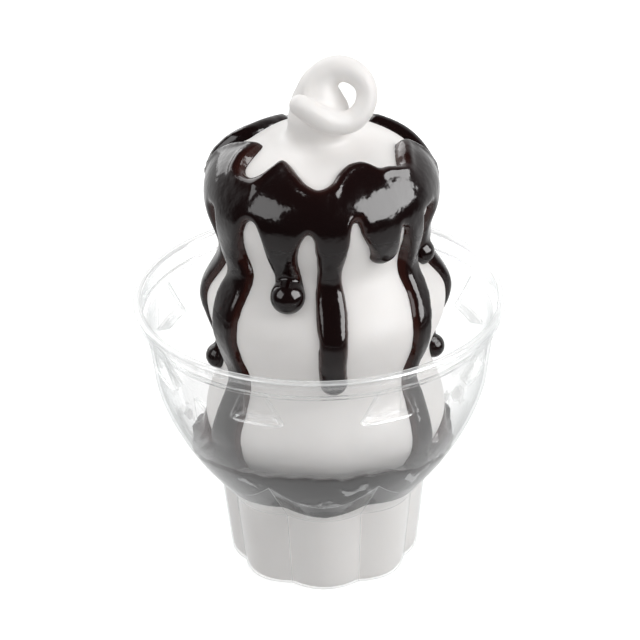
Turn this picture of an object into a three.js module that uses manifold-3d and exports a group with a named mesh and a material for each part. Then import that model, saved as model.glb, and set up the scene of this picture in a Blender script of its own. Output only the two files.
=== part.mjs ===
// Hot fudge sundae: soft serve in a clear fluted cup, with fudge poured over it.
// Units are millimetres, +Z is up, and the origin is the middle of the cup's foot.
// The front of the sundae looks along -Y. Angles are in degrees from the front, positive to the right (+X).
import * as THREE from 'three';
import { ParametricGeometry } from 'three/addons/geometries/ParametricGeometry.js';
import { mergeVertices } from 'three/addons/utils/BufferGeometryUtils.js';
import Module from 'manifold-3d';

// ---------------------------------------------------------------- cup
const RIM_RADIUS = 46;          // a 92 mm rim, the common size for sundae cups and their lids
const CUP_HEIGHT = 71.7;
const WALL = 0.8;
const FLUTES = 8;
const FOOT_RADIUS = 23.3;       // over the flutes, at the bottom
const FOOT_ROUND = 1.4;         // rounding between the foot and the base wall
const BASE_HEIGHT = 21.6;       // the fluted base ends here and the bowl flares out
const BASE_TOP_RADIUS = 25.6;
const RECESS_RADIUS = 16;       // the middle of the underside stands clear of the table
const RECESS_HEIGHT = 1.2;
const CREASE_HEIGHT = 28.5;     // the flare meets the bowl's wall in a scalloped crease
const CREASE_RADIUS = 30.6;
const WALL_FOOT_HEIGHT = 52;    // above this the bowl's wall is nearly upright
const WALL_FOOT_RADIUS = 41.3;
const STEP_HEIGHT = 66.2;       // the wall steps out here to a band below the lip
const STEP_RADIUS = 43.2;
const BAND_RADIUS = 44.5;
const LIP_HEIGHT = 1.9;
const FLUTE_DEPTH = 1.9;        // depth of the grooves between flutes on the base
const FLUTE_COLUMNS = [0, 12, 17.2, 22.5, 27.8, 33];    // angles of the mesh's columns on each flute, from its crest
const FLUTE_FADE_HEIGHT = 55;   // the grooves run out in the bowl's wall below this
const LUG_TOP = 65.4;           // stacking lugs are wedges pressed into the wall under the step
const LUG_BOTTOM = 57.6;
const LUG_DEPTH = 2.7;
const LUG_HALF_WIDTH = 10.5;    // degrees, at the wide lower end
const LUG_FACE_SHARE = 0.5;     // of that width, the flat face between the two sloping sides

// ---------------------------------------------------------------- ice cream
const GAP = 0.4;                // between each piece and the next
const NECK_INSIDE = { height: 23, radius: 22.8, shift: 0 };
const SWELLS = [                // the stacked coils, with the narrow waists between them
  NECK_INSIDE,
  { height: 41, radius: 29.7, shift: 0.9 },
  { height: 56.5, radius: 25.4, shift: 1.4 },
  { height: 71.5, radius: 29.2, shift: 2.0 },
  { height: 87, radius: 22.9, shift: 0.3 },
  { height: 100, radius: 26.6, shift: 0.8 },
];
const DOME_HEIGHT = 15;
const DOME_FULLNESS = 2.2;      // 2 is an ellipse, more is squarer
// The pulled tip: it rises from the dome, loops over to the right and forward, and ends across its own front.
const CURL = [                  // x, y, z and radius along the rope
  [-0.1, 0, 111.0, 7.8], [-0.4, 0, 115.4, 6.9], [-0.6, -0.2, 120.8, 6.2], [-0.1, 0, 125.2, 5.4],
  [1.4, 0.3, 129.0, 4.4], [3.8, 0.2, 131.5, 3.6], [6.7, -0.5, 132.3, 3.25], [9.8, -1.5, 131.2, 2.95],
  [11.9, -2.7, 128.6, 2.65], [12.0, -4.0, 125.5, 2.65], [10.5, -5.4, 122.8, 2.75], [7.6, -6.6, 121.1, 2.9],
  [4.3, -7.6, 121.4, 3.0], [0.7, -8.3, 123.3, 2.95], [-2.2, -8.2, 125.3, 2.85], [-3.9, -7.8, 126.3, 2.7],
];

// ---------------------------------------------------------------- hot fudge
const FUDGE_GAP = 0.55;             // between the fudge and the ice cream's round surface
const COAT_THICKNESS = 1.9;
const COAT_LOWER_HEIGHT = 102.4;    // arches between the drips reach up to here
const COAT_TOP_EDGE = [             // angle, and distance from the dome's middle where the coat begins
  [-170, 17], [-140, 15.5], [-118, 15], [-108, 19.5], [-100, 23.5], [-92, 20], [-78, 13.5], [-70, 14.8],
  [-59, 20], [-50, 21], [-42, 18.5], [-34, 14.8], [-26, 15.4], [-14, 18.6], [-2, 20.7], [8, 19.2], [17, 16.2],
  [29, 15.4], [43, 17.6], [58, 20.3], [66, 18.4], [77, 17], [92, 19], [99, 23], [107, 19], [120, 16], [150, 16.5],
];
// Each drip: where it leaves the coat and where it ends (angle), the height that it reaches, half its width,
// how much wider its root is, how far it sways, and the radius of the bead at its end.
const DRIPS = [
  { from: -86, to: -94, reach: 53.5, half: 2.5, root: 6.0, sway: 0, bead: 2.7 },
  { from: -54, to: -53, reach: 0, half: 3.6, root: 3.6, sway: 1.5, bead: 0 },
  { from: -21, to: -20.6, reach: 79.6, half: 2.4, root: 4.4, sway: 0, bead: 3.8 },
  { from: 5, to: 3.8, reach: 57.6, half: 3.1, root: 3.2, sway: 1, bead: 0 },
  { from: 32, to: 37.6, reach: 88.8, half: 3.9, root: 2.4, sway: 0, bead: 4.2 },
  { from: 53, to: 51, reach: 0, half: 3.2, root: 1.4, sway: -5, bead: 0 },
  { from: 82, to: 86, reach: 81.2, half: 2.3, root: 2.4, sway: 0, bead: 2.7 },
  { from: 103, to: 96, reach: 55.5, half: 2.4, root: 3.0, sway: 2, bead: 2.6 },
  { from: 128, to: 127, reach: 74, half: 2.5, root: 4.6, sway: 0, bead: 3.3 },
  { from: 150, to: 153, reach: 0, half: 3.3, root: 3.0, sway: 2, bead: 0 },
  { from: 176, to: 175, reach: 84, half: 3.0, root: 3.6, sway: 0, bead: 3.8 },
  { from: -158, to: -155, reach: 59, half: 2.8, root: 4.0, sway: 3, bead: 2.6 },
  { from: -133, to: -130, reach: 0, half: 3.1, root: 3.6, sway: -2, bead: 0 },
  { from: -110, to: -112, reach: 86, half: 2.6, root: 3.2, sway: 0, bead: 3.0 },
];
const DRIP_START = 105;             // drips begin inside the coat's lower edge
const DRIP_THICKNESS = 1.7;
const DRIP_CLEARANCE = 2.2;         // the longest drips end this far above the pool
const ROOT_FADE = 4.5;              // the roots narrow over about this length
const POOL_BOTTOM = 22.9;
const POOL_LEVEL = [                // angle, and the height of the pool against the ice cream
  [-180, 36], [-142, 36.5], [-118, 36.5], [-88, 39.5], [-66, 33.6], [-42, 33.4], [0, 35.2],
  [39, 33.4], [63, 33.6], [84, 42], [110, 37], [141, 36.5], [165, 36.5],
];
const POOL_WALL_DROP = 0.8;         // the pool slopes away from the high places down to the cup's wall
const POOL_CALM_HEIGHT = 35.5;

const wasm = await Module();
wasm.setup();

// ---------------------------------------------------------------- helpers
const { lerp, clamp, smoothstep, degToRad } = THREE.MathUtils;

// A point at a distance from the cup's axis, at an angle from the front.
const around = (distance, angle, height) => new THREE.Vector3(
  distance * Math.sin(degToRad(angle)), -distance * Math.cos(degToRad(angle)), height);

// The value at x of a smooth curve through [x, value] pairs, which repeats every 360 degrees.
function periodicCurve(pairs, angle) {
  const turn = ((angle - pairs[0][0]) % 360 + 360) % 360 + pairs[0][0];
  const index = pairs.findLastIndex(([start]) => start <= turn);
  const [start, value] = pairs[index];
  const last = index === pairs.length - 1;
  const [end, next] = last ? [pairs[0][0] + 360, pairs[0][1]] : pairs[index + 1];
  return lerp(value, next, smoothstep(turn, start, end));
}

// A closed solid over a grid of columns and rows, from a function of (column, row) that gives a point.
// Seams and poles are merged, the triangles that collapse there are dropped, and the faces point out.
function closedSurface(pointAt, columns, rows) {
  const surface = new ParametricGeometry((u, v, target) => {
    target.copy(pointAt(Math.round(u * columns), Math.round(v * rows)));
  }, columns, rows);
  surface.deleteAttribute('normal');
  surface.deleteAttribute('uv');
  const merged = mergeVertices(surface, 1e-4);
  const corners = merged.index.array;
  const kept = [];
  for (let i = 0; i < corners.length; i += 3) {
    const [a, b, c] = corners.slice(i, i + 3);
    if (a !== b && b !== c && c !== a) kept.push(a, b, c);
  }
  merged.setIndex(volumeOf(merged, kept) > 0 ? kept : kept.reverse());
  return merged;
}

function volumeOf(geometry, corners) {
  const position = geometry.getAttribute('position');
  const vertex = (i) => new THREE.Vector3().fromBufferAttribute(position, corners[i]);
  let volume = 0;
  for (let i = 0; i < corners.length; i += 3) {
    volume += vertex(i).dot(vertex(i + 1).cross(vertex(i + 2))) / 6;
  }
  return volume;
}

const solidFrom = (geometry) => new wasm.Manifold(new wasm.Mesh({
  numProp: 3,
  vertProperties: new Float32Array(geometry.getAttribute('position').array),
  triVerts: new Uint32Array(geometry.index.array),
}));

function geometryFrom(solid) {
  const { vertProperties, triVerts } = solid.getMesh();
  const geometry = new THREE.BufferGeometry();
  geometry.setAttribute('position', new THREE.BufferAttribute(vertProperties, 3));
  geometry.setIndex(new THREE.BufferAttribute(triVerts, 1));
  return geometry;
}

// ---------------------------------------------------------------- cup shape
// 0 on the crest of a flute and 1 in the groove between two.
const groove = (angle) => 1 - Math.abs(Math.cos(degToRad(angle * FLUTES / 2)));

function grooveDepth(height) {
  const fade = clamp((height - CREASE_HEIGHT) / (FLUTE_FADE_HEIGHT - CREASE_HEIGHT), 0, 1);
  return FLUTE_DEPTH * (1 - fade) ** 2;
}

// How far a stacking lug presses the wall in: nothing at its top, LUG_DEPTH at its foot.
function lugDepth(height, angle) {
  if (height > LUG_TOP || height < LUG_BOTTOM) return 0;
  const pitch = 360 / FLUTES;
  const offCentre = Math.abs((((angle % pitch) + pitch) % pitch) - pitch / 2);
  const down = (LUG_TOP - height) / (LUG_TOP - LUG_BOTTOM);
  const side = (LUG_HALF_WIDTH - offCentre) / (LUG_HALF_WIDTH * (1 - LUG_FACE_SHARE));
  return LUG_DEPTH * Math.min(down, clamp(side, 0, 1));
}

// Radius of the cup's outside over the crests, from the base to the step under the band.
function crestRadius(height) {
  if (height <= BASE_HEIGHT) return lerp(FOOT_RADIUS, BASE_TOP_RADIUS, height / BASE_HEIGHT);
  if (height <= CREASE_HEIGHT) {
    const up = (height - BASE_HEIGHT) / (CREASE_HEIGHT - BASE_HEIGHT);
    return lerp(BASE_TOP_RADIUS, CREASE_RADIUS, up);
  }
  if (height <= WALL_FOOT_HEIGHT) {
    const up = (height - CREASE_HEIGHT) / (WALL_FOOT_HEIGHT - CREASE_HEIGHT);
    return WALL_FOOT_RADIUS - (WALL_FOOT_RADIUS - CREASE_RADIUS) * (1 - up) ** 1.5;
  }
  return lerp(WALL_FOOT_RADIUS, STEP_RADIUS, (height - WALL_FOOT_HEIGHT) / (STEP_HEIGHT - WALL_FOOT_HEIGHT));
}

const cupRadius = (height, angle) =>
  crestRadius(height) - grooveDepth(height) * groove(angle) - lugDepth(height, angle);

// Heights of the rings that shape the wall between the foot and the step.
const WALL_HEIGHTS = [FOOT_ROUND, BASE_HEIGHT, CREASE_HEIGHT, 34, 40, 46, WALL_FOOT_HEIGHT,
  LUG_BOTTOM - 0.35, LUG_BOTTOM, LUG_TOP];

// The wall's section at an angle, from the middle of the underside up, over the lip and down to the floor.
function cupSection(angle) {
  const foot = FOOT_RADIUS - FLUTE_DEPTH * groove(angle);
  const floor = RECESS_HEIGHT + WALL;
  const outside = WALL_HEIGHTS.map((height) => [cupRadius(height, angle), height]);
  const slant = (height) => (height > BASE_HEIGHT && height < WALL_FOOT_HEIGHT ? 1.15 * WALL : WALL);
  const inside = WALL_HEIGHTS.slice(1).map((height) => [cupRadius(height, angle) - slant(height), height]);
  return [
    [0, RECESS_HEIGHT], [RECESS_RADIUS - 1, RECESS_HEIGHT], [RECESS_RADIUS, 0], [foot - FOOT_ROUND, 0],
    [foot - 0.35 * FOOT_ROUND, 0.3 * FOOT_ROUND],
    ...outside,
    [STEP_RADIUS, STEP_HEIGHT - 0.4], [BAND_RADIUS, STEP_HEIGHT], [BAND_RADIUS, CUP_HEIGHT - LIP_HEIGHT],
    [RIM_RADIUS, CUP_HEIGHT - LIP_HEIGHT], [RIM_RADIUS, CUP_HEIGHT],
    [BAND_RADIUS - WALL, CUP_HEIGHT], [BAND_RADIUS - WALL, STEP_HEIGHT + WALL],
    [STEP_RADIUS - WALL, STEP_HEIGHT + 0.5 * WALL],
    ...inside.reverse(),
    [foot - 0.7 * WALL, floor + FOOT_ROUND], [foot - FOOT_ROUND, floor], [0, floor],
  ];
}

const ANGLES = Array.from({ length: FLUTES }, (_, flute) =>
  FLUTE_COLUMNS.map((angle) => angle + flute * 360 / FLUTES)).flat();
const angleOf = (column) => ANGLES[column % ANGLES.length];

function cupGeometry() {
  const sections = ANGLES.map(cupSection);
  return closedSurface((column, row) => {
    const [radius, height] = sections[column % ANGLES.length][row];
    return around(radius, angleOf(column), height);
  }, ANGLES.length, sections[0].length - 1);
}

// ---------------------------------------------------------------- ice cream shape
const DOME = SWELLS.at(-1);

// The ice cream's outline above the cup's base: radius, height and sideways shift, from the top down.
function outlineAt(part) {
  const domeShare = 0.22;
  if (part < domeShare) {
    const climb = (1 - part / domeShare) * Math.PI / 2;
    return {
      radius: DOME.radius * Math.cos(climb) ** (2 / DOME_FULLNESS),
      height: DOME.height + DOME_HEIGHT * Math.sin(climb) ** (2 / DOME_FULLNESS),
      shift: DOME.shift,
    };
  }
  const down = (part - domeShare) / (1 - domeShare) * (SWELLS.length - 1);
  const upper = SWELLS.length - 1 - Math.min(Math.floor(down), SWELLS.length - 2);
  const ease = (1 - Math.cos(Math.PI * (down - (SWELLS.length - 1 - upper)))) / 2;
  const [from, to] = [SWELLS[upper], SWELLS[upper - 1]];
  return {
    radius: lerp(from.radius, to.radius, ease),
    height: lerp(from.height, to.height, down - (SWELLS.length - 1 - upper)),
    shift: lerp(from.shift, to.shift, ease),
  };
}

// The same outline as a table over the distance along it from the dome's middle.
const OUTLINE = [];
for (let i = 0, travelled = 0; i <= 400; i++) {
  const point = outlineAt(i / 400);
  const before = OUTLINE.at(-1) ?? point;
  travelled += Math.hypot(point.radius - before.radius, point.height - before.height);
  OUTLINE.push({ ...point, travelled });
}

function outlineWhere(test) {
  const index = OUTLINE.findIndex(test);
  return index < 0 ? OUTLINE.at(-1).travelled : OUTLINE[index].travelled;
}
const alongAtHeight = (height) => outlineWhere((point) => point.height <= height);
const alongAtDomeRadius = (radius) => outlineWhere((point) => point.radius >= radius);

// The outline at a distance along it, with its outward normal.
function outlineAlong(along) {
  const beyond = OUTLINE.findIndex((point) => point.travelled > along);
  const index = beyond < 0 ? OUTLINE.length - 1 : Math.max(beyond, 1);
  const [before, after] = [OUTLINE[index - 1], OUTLINE[index]];
  const share = (along - before.travelled) / (after.travelled - before.travelled);
  const length = after.travelled - before.travelled;
  return {
    radius: lerp(before.radius, after.radius, share),
    height: lerp(before.height, after.height, share),
    shift: lerp(before.shift, after.shift, share),
    out: (before.height - after.height) / length,
    up: (after.radius - before.radius) / length,
  };
}

// A point lifted off the ice cream's surface.
function onIceCream(along, angle, lift = 0) {
  const { radius, height, shift, out, up } = outlineAlong(along);
  const point = around(radius + lift * out, angle, height + lift * up);
  point.x += shift;
  return point;
}

const COIL_ROWS = 32;
const OUTLINE_LENGTH = OUTLINE.at(-1).travelled;
const STATION = OUTLINE_LENGTH / COIL_ROWS;     // spacing of the rings that shape the coils and the drips on them

// The ice cream in the fluted base, from its middle out and up the wall.
function baseSection(angle) {
  const clearance = WALL + GAP;
  const bottom = RECESS_HEIGHT + WALL + GAP;
  const foot = FOOT_RADIUS - FLUTE_DEPTH * groove(angle) - clearance;
  const top = BASE_HEIGHT - 0.6;
  return [[0, bottom], [foot - FOOT_ROUND, bottom], [foot, bottom + FOOT_ROUND],
    [cupRadius(top, angle) - clearance, top]];
}

function iceCreamGeometry() {
  const base = ANGLES.map(baseSection);
  const coils = closedSurface((column, row) => {
    const angle = angleOf(column);
    if (row < base[0].length) return around(base[column % ANGLES.length][row][0], angle, base[0][row][1]);
    const along = OUTLINE_LENGTH - (row - base[0].length) * STATION;
    return onIceCream(Math.max(along, 0), angle);
  }, ANGLES.length, base[0].length + COIL_ROWS);
  return geometryFrom(solidFrom(coils).add(solidFrom(curlGeometry())));
}

const CURL_SIDES = 10;
const CURL_RINGS = 20;
const CURL_TIP_RINGS = 3;

// The pulled tip is a rope with a changing radius and a rounded end.
function curlGeometry() {
  const path = new THREE.CatmullRomCurve3(CURL.map(([x, y, z]) => new THREE.Vector3(x, y, z)), false, 'centripetal');
  const radii = new THREE.SplineCurve(CURL.map(([, , , radius], i) => new THREE.Vector2(i, radius)));
  const frames = path.computeFrenetFrames(CURL_RINGS);
  const rows = CURL_RINGS + CURL_TIP_RINGS + 1;
  return closedSurface((column, row) => {
    const ring = clamp(row - 1, 0, CURL_RINGS);
    const tip = clamp(row - 1 - CURL_RINGS, 0, CURL_TIP_RINGS) / CURL_TIP_RINGS * Math.PI / 2;
    const centre = path.getPoint(ring / CURL_RINGS);
    const fullRadius = radii.getPoint(ring / CURL_RINGS).y;
    const radius = row === 0 || row === rows ? 0 : fullRadius * Math.cos(tip);
    centre.addScaledVector(frames.tangents[ring], fullRadius * Math.sin(tip));
    if (radius < 1e-6) return centre;
    const turn = -column * 2 * Math.PI / CURL_SIDES;
    return centre
      .addScaledVector(frames.normals[ring], radius * Math.cos(turn))
      .addScaledVector(frames.binormals[ring], radius * Math.sin(turn));
  }, CURL_SIDES, rows);
}

// ---------------------------------------------------------------- hot fudge shape
const COAT_COLUMNS = 60;
const COAT_ACROSS = 4;

// The band of fudge round the dome: its outer face swells in the middle and rounds off at both edges.
function coatGeometry() {
  const lower = alongAtHeight(COAT_LOWER_HEIGHT);
  return closedSurface((column, row) => {
    const angle = (column % COAT_COLUMNS) * 360 / COAT_COLUMNS;
    const upper = alongAtDomeRadius(periodicCurve(COAT_TOP_EDGE, angle));
    const step = row % (2 * COAT_ACROSS);
    const outer = step <= COAT_ACROSS;
    const across = (outer ? step : 2 * COAT_ACROSS - step) / COAT_ACROSS;
    const rounded = (1 - Math.cos(Math.PI * across)) / 2;
    const swell = Math.sin(Math.PI * rounded) ** 0.5;
    return onIceCream(lerp(upper, lower, rounded), angle, FUDGE_GAP + (outer ? COAT_THICKNESS * swell : 0));
  }, COAT_COLUMNS, 2 * COAT_ACROSS);
}

const poolLevel = (angle) => periodicCurve(POOL_LEVEL, angle);

const DRIP_ARC = 5;                 // facets over a drip's round back
const DRIP_FLOOR = 3;               // facets under it, which follow the ice cream
const END_RINGS = 3;

// Where along the outline a drip has its rings: at the stations, and closer together over its rounded end.
function dripRings({ to, reach, half, bead }) {
  const start = alongAtHeight(DRIP_START);
  const end = alongAtHeight(reach || poolLevel(to) + DRIP_CLEARANCE);
  const endLength = reach ? (bead ? 1.8 * bead : half) : 0;
  const rings = [start];
  for (let k = Math.ceil(start / STATION + 0.2); k * STATION < end - endLength - 0.3 * STATION; k++) {
    rings.push(k * STATION);
  }
  const endRings = reach ? END_RINGS : 1;
  for (let i = 1; i <= endRings; i++) {
    rings.push(end - endLength * (1 - Math.sin(i / endRings * Math.PI / 2)));
  }
  return rings;
}

// One drip. Its back is round, it widens where the surface faces up and narrows where it overhangs,
// and it ends in a bead, in a rounded tip, or just above the pool.
function dripGeometry(drip) {
  const { from, to, reach, half, root, sway, bead } = drip;
  const rings = dripRings(drip);
  const [start, end] = [rings[0], rings.at(-1)];
  const sides = DRIP_ARC + DRIP_FLOOR;
  return closedSurface((column, row) => {
    const along = rings[clamp(row - 1, 0, rings.length - 1)];
    const { radius, up } = outlineAlong(along);
    const left = reach ? (end - along) / (bead || half) : 1;
    const round = Math.sqrt(clamp(1 - (1 - Math.min(left, 1)) ** 2, 0.05, 1));
    const ball = left < 2 ? Math.sqrt(clamp(1 - (1 - left) ** 2, 0.05, 1)) : 0;
    const rootHere = root * Math.exp((start - along) / ROOT_FADE);
    const width = Math.max((half * (0.9 + 0.45 * up) + rootHere) * round, bead * ball);
    const height = Math.max(DRIP_THICKNESS * round, 1.1 * bead * ball);
    const share = (along - start) / (end - start);
    const middle = lerp(from, to, share) + sway * Math.sin(2 * Math.PI * share);
    const point = (across, lift) =>
      onIceCream(along, middle + THREE.MathUtils.radToDeg(across * width / radius), FUDGE_GAP + lift);
    if (row === 0 || row === rings.length + 1) return point(0, height / 2);
    const side = column % sides;
    if (side > DRIP_ARC) return point(lerp(-1, 1, (side - DRIP_ARC) / DRIP_FLOOR), 0);
    const turn = Math.PI * side / DRIP_ARC;
    return point(Math.cos(turn), height * Math.sin(turn));
  }, sides, rings.length + 1);
}

function fudgeCoatGeometry() {
  const drips = DRIPS.map((drip) => solidFrom(dripGeometry(drip)));
  return geometryFrom(drips.reduce((whole, drip) => whole.add(drip), solidFrom(coatGeometry())));
}

const POOL_RISE = 5;                // facets up the ice cream and down the cup's wall
const POOL_ACROSS = 2;

// The fudge that ran down and filled the foot of the bowl, round the ice cream.
function fudgePoolGeometry() {
  const rows = 2 * POOL_RISE + POOL_ACROSS + 1;
  return closedSurface((column, row) => {
    const angle = angleOf(column);
    const level = poolLevel(angle);
    const wallLevel = level - 0.6 - POOL_WALL_DROP * Math.max(0, level - POOL_CALM_HEIGHT);
    const atIceCream = (height) => {
      const point = onIceCream(alongAtHeight(height), angle, 1.3 * FUDGE_GAP);
      return point.setZ(height);
    };
    const atWall = (height) => around(cupRadius(height, angle) - 1.3 * WALL - GAP, angle, height);
    const step = row % rows;
    if (step <= POOL_RISE) return atIceCream(lerp(POOL_BOTTOM, level, step / POOL_RISE));
    if (step < POOL_RISE + POOL_ACROSS) {
      const share = (step - POOL_RISE) / POOL_ACROSS;
      return atIceCream(level).lerp(atWall(wallLevel), share).add(new THREE.Vector3(0, 0, 0.5));
    }
    return atWall(lerp(wallLevel, POOL_BOTTOM, (step - POOL_RISE - POOL_ACROSS) / POOL_RISE));
  }, ANGLES.length, rows);
}

// ---------------------------------------------------------------- the sundae
const clearPlastic = new THREE.MeshStandardMaterial({
  color: '#eef2f3', roughness: 0.05, metalness: 0, transparent: true, opacity: 0.35,
});
const softServe = new THREE.MeshStandardMaterial({ color: '#eeece9', roughness: 0.45, metalness: 0 });
const fudge = new THREE.MeshStandardMaterial({ color: '#1f0e0b', roughness: 0.12, metalness: 0 });

function piece(name, geometry, material) {
  const mesh = new THREE.Mesh(geometry, material);
  mesh.name = name;
  return mesh;
}

const group = new THREE.Group();
group.add(
  piece('cup', cupGeometry(), clearPlastic),
  piece('ice_cream', iceCreamGeometry(), softServe),
  piece('fudge_coat', fudgeCoatGeometry(), fudge),
  piece('fudge_pool', fudgePoolGeometry(), fudge),
);

export default group;
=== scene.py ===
"""Hot fudge sundae: soft serve in a clear fluted cup, with hot fudge poured over it.

Sizes are in millimetres and turned to metres by MM. +Z is up and the front looks along -Y.
Angles are in degrees from the front, positive to the right (+X).
"""

import math

import bmesh
import bpy
import numpy as np
from mathutils import Matrix, Vector
from mathutils.kdtree import KDTree


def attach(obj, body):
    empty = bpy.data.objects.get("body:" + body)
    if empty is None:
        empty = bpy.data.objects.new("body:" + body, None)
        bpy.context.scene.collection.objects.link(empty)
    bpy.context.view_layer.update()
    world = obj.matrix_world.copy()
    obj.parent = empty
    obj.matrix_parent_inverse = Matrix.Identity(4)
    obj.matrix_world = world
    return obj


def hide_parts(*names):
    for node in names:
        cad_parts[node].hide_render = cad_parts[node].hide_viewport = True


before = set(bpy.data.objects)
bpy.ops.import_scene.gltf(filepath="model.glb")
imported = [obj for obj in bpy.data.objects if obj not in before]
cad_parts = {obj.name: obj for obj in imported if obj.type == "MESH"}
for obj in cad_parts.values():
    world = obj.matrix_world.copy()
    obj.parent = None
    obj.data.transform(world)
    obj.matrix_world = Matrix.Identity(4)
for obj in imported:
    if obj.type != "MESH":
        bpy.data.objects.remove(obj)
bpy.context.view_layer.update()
MM = 0.001

# ------------------------------------------------------------------ sizes, the same as the solids'
RIM_RADIUS = 46
CUP_HEIGHT = 71.7
WALL = 0.8
FLUTES = 8
FOOT_RADIUS = 23.3
FOOT_ROUND = 1.4
BASE_HEIGHT = 21.6
BASE_TOP_RADIUS = 25.6
RECESS_RADIUS = 16
RECESS_HEIGHT = 1.2
CREASE_HEIGHT = 28.5
CREASE_RADIUS = 30.6
WALL_FOOT_HEIGHT = 52
WALL_FOOT_RADIUS = 41.3
STEP_HEIGHT = 66.2
STEP_RADIUS = 43.2
BAND_RADIUS = 44.5
LIP_HEIGHT = 1.9
FLUTE_DEPTH = 1.9
FLUTE_FADE = 0.088          # the grooves lose this much of their depth for each millimetre above the base
FLARE = (CREASE_RADIUS - BASE_TOP_RADIUS) / (CREASE_HEIGHT - BASE_HEIGHT)
SCALLOP = 6.9               # the crease is this much higher over the grooves
BLEND_HEIGHT = 36.5         # from here up the sheet's rings are level again
BAND_TOP = 68.2
LUG_TOP = 65.4
LUG_BOTTOM = 57.6
LUG_LEDGE = 0.35            # the lug's underside slopes back to the wall over this height
LUG_DEPTH = 2.7
LUG_FACE = 17.5             # places on the flute that the lug's flat face and the ends of its sides reach
LUG_SIDE = 12.5
LUG_COLUMNS = (0, 5, 10, 15)
LUG_CORNERS = {             # where those columns, in degrees from the lug's middle, go at each height
    LUG_TOP: (0, 3.2, 4.4, 15),
    LUG_BOTTOM: (0, 6.2, 9.2, 15),
    LUG_BOTTOM - LUG_LEDGE: (0, 6.2, 9.2, 15),
}
COLUMNS = 144               # 2.5 degrees apart, so that lugs and grooves fall on columns
FOLD_ROUND = 0.3
FOLD_ANGLE = 16             # the sheet is folded where it turns by more than this
LUG_HIGHLIGHT = 0.3             # the lugs' folds get this share of the painted highlight, where the other folds get 1

SWELLS = [                  # height, radius and sideways shift of the coils and of the waists between them
    (23, 22.8, 0), (41, 29.7, 0.9), (56.5, 25.4, 1.4), (71.5, 29.3, 1.6), (87, 22.9, 0.3),
    (100, 26.6, 0.8),
]
DOME_HEIGHT = 15
DOME_FULLNESS = 2.2
CURL = [                    # x, y, z and radius along the pulled tip
    (-0.1, 0, 110.0, 8.6), (0.4, 0, 113.0, 8.2), (0.6, 0, 116.4, 7.8), (0.7, -0.2, 120.8, 7.5),
    (0.6, 0, 125.2, 6.2), (1.5, 0.3, 129.0, 4.5), (3.8, 0.2, 131.5, 3.6), (6.7, -0.5, 132.3, 3.25),
    (9.8, -1.5, 131.2, 2.95), (11.9, -2.7, 128.6, 2.65), (12.0, -4.0, 125.5, 2.65),
    (10.5, -5.4, 122.8, 2.75), (7.6, -6.6, 121.1, 2.9), (4.3, -7.6, 121.4, 3.0),
    (0.7, -8.3, 123.3, 2.95), (-2.2, -8.2, 125.3, 2.85), (-3.9, -7.8, 126.3, 2.7),
]

ICE_VOXEL = 0.6
JUNCTION_HEIGHT = 115.2     # where the pulled tip leaves the dome, and how far up and down it is blended
JUNCTION_REACH = 4.5

COAT_TOP_EDGE = [           # angle, and distance from the dome's middle where the fudge begins
    (-170, 23), (-160, 21.5), (-152, 17.5), (-143, 16.6), (-133, 16.2), (-119, 16.6), (-111, 17.6),
    (-106.5, 19.4), (-104, 22.5), (-101.5, 25), (-99.5, 25), (-97.5, 22.7), (-94, 20.2), (-90.5, 18),
    (-87, 16.2), (-84, 15), (-81.5, 14.5), (-76, 15.4), (-69.5, 17.8), (-65.5, 19.7), (-62, 21),
    (-56, 21.6), (-50, 21.5), (-46, 20.8), (-42.5, 19.3), (-39.7, 17.1), (-35.6, 14.8), (-28, 15.7),
    (-17.5, 18.2), (-9.5, 20.3), (-1.8, 21.3), (7.3, 20.1), (13, 17.9), (17.6, 16.7), (26.4, 15.6),
    (34, 15.7), (39.7, 16.9), (45, 19.1), (51, 19.5), (57.5, 20.6), (61, 21), (64.5, 20.6), (70, 19.6),
    (78, 18.8), (87, 18.4), (91, 18.9), (94.5, 21.5), (97.5, 24.5), (101, 25.2), (107, 24.6),
    (114, 23.2), (130, 20.6), (139, 19.4), (148, 21), (158, 23), (172, 23.2),
]
COAT_LOWER_EDGE = [         # angle, and the height of the arches between the drips
    (-145, 102.4), (-120, 102.2), (-97, 102), (-70, 101.2), (-40, 102.7), (-7, 102.2), (17.6, 104.4),
    (46, 100.6), (70, 101), (100, 102), (140, 102.4), (165, 102.4),
]
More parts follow.
